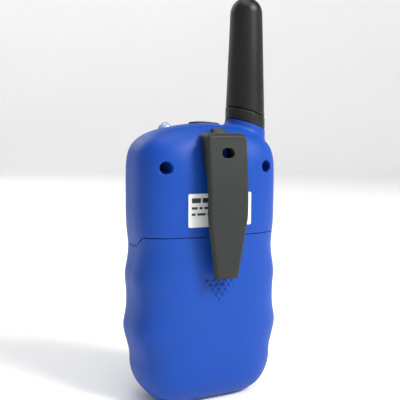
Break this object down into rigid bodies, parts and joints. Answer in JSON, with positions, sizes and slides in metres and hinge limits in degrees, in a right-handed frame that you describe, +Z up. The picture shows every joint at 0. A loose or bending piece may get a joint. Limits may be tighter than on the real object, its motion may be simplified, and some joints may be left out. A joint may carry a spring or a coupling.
{
  "type": "portable two-way radio",
  "caption": "Hand-held two-way radio with a wavy blue case, a stub antenna, a belt clip, a torch lamp and a sliding battery door.",
  "frame": {"origin": "centre of the small flat under the battery door that the radio stands on, on the middle plane of the body", "axes": "+Z up towards the antenna; -Y is the front with the speaker and the display; +Y is the back with the belt clip; the antenna is on the -X side"},
  "size_m": [0.0586, 0.0408, 0.151],
  "materials": {
    "blue_case": "satin",
    "charcoal_clip": "matte",
    "panel_plastic": "satin",
    "clear_lens": "gloss",
    "lcd_glass": "gloss",
    "key_rubber": "matte",
    "keypad_silicone": "matte",
    "ptt_plastic": "matte",
    "socket_rubber": "matte",
    "black_part": "satin",
    "led_epoxy": "gloss",
    "board_laminate": "satin",
    "plated_steel": "satin",
    "speaker_paper": "matte",
    "felt": "matte",
    "cell_can": "satin",
    "screw_zinc": "satin",
    "antenna_rubber": "satin",
    "coil_brass": "satin",
    "former_nylon": "matte",
    "label_film": "satin"
  },
  "bodies": {
    "case": {"rear_case": "blue_case", "front_case": "blue_case", "front_panel": "panel_plastic", "lcd_window": "clear_lens", "lcd_module": "lcd_glass", "keypad_membrane": "keypad_silicone", "ptt_switch": "black_part", "jack_socket": "black_part", "torch_led": "led_epoxy", "main_pcb": "board_laminate", "rf_shield": "plated_steel", "main_chip": "black_part", "speaker_frame": "plated_steel", "speaker_cone": "speaker_paper", "speaker_felt": "felt", "microphone": "plated_steel", "microphone_boot": "socket_rubber", "battery_cells": "cell_can", "cell_springs": "plated_steel", "cell_contacts": "plated_steel", "case_screws": "screw_zinc", "pcb_screws": "screw_zinc", "antenna_sleeve": "antenna_rubber", "antenna_collar": "antenna_rubber", "antenna_coil": "coil_brass", "antenna_former": "former_nylon", "antenna_stud": "coil_brass", "antenna_contact": "coil_brass", "label": "label_film"},
    "door": {"battery_door": "blue_case"},
    "clip": {"clip_base": "charcoal_clip"},
    "clip_tongue": {"clip_arm": "charcoal_clip"},
    "ptt": {"ptt_button": "ptt_plastic"},
    "socket_flap": {"jack_cover": "socket_rubber"},
    "up_key": {"key_up": "key_rubber"},
    "down_key": {"key_down": "key_rubber"},
    "menu_key": {"key_menu": "key_rubber"},
    "call_key": {"key_call": "key_rubber"},
    "monitor_key": {"key_monitor": "key_rubber"}
  },
  "joints": [
    {"name": "door_slide", "type": "slide", "parent": "case", "child": "door", "axis": [0, 0, -1], "range_m": [0, 0.068]},
    {"name": "clip_lift", "type": "slide", "parent": "case", "child": "clip", "axis": [0, 0, 1], "range_m": [0, 0.014]},
    {"name": "clip_flex", "type": "hinge", "parent": "clip", "child": "clip_tongue", "pos_m": [0, 0.02235, 0.0832], "axis": [1, 0, 0], "range_deg": [0, 12], "stiffness_Nm_per_rad": 1.2},
    {"name": "ptt_press", "type": "slide", "parent": "case", "child": "ptt", "axis": [1, 0, 0], "range_m": [0, 0.0008], "stiffness_N_per_m": 1200},
    {"name": "socket_flap_lift", "type": "hinge", "parent": "case", "child": "socket_flap", "pos_m": [0.00425, -0.0016, 0.1034], "axis": [0, 1, 0], "range_deg": [0, 100], "stiffness_Nm_per_rad": 0.0005},
    {"name": "up_press", "type": "slide", "parent": "case", "child": "up_key", "axis": [0, 1, 0], "range_m": [0, 0.0008], "stiffness_N_per_m": 900},
    {"name": "down_press", "type": "slide", "parent": "case", "child": "down_key", "axis": [0, 1, 0], "range_m": [0, 0.0008], "stiffness_N_per_m": 900},
    {"name": "menu_press", "type": "slide", "parent": "case", "child": "menu_key", "axis": [0, 1, 0], "range_m": [0, 0.0008], "stiffness_N_per_m": 900},
    {"name": "call_press", "type": "slide", "parent": "case", "child": "call_key", "axis": [0, 1, 0], "range_m": [0, 0.0008], "stiffness_N_per_m": 900},
    {"name": "monitor_press", "type": "slide", "parent": "case", "child": "monitor_key", "axis": [0, 1, 0], "range_m": [0, 0.0008], "stiffness_N_per_m": 900}
  ]
}
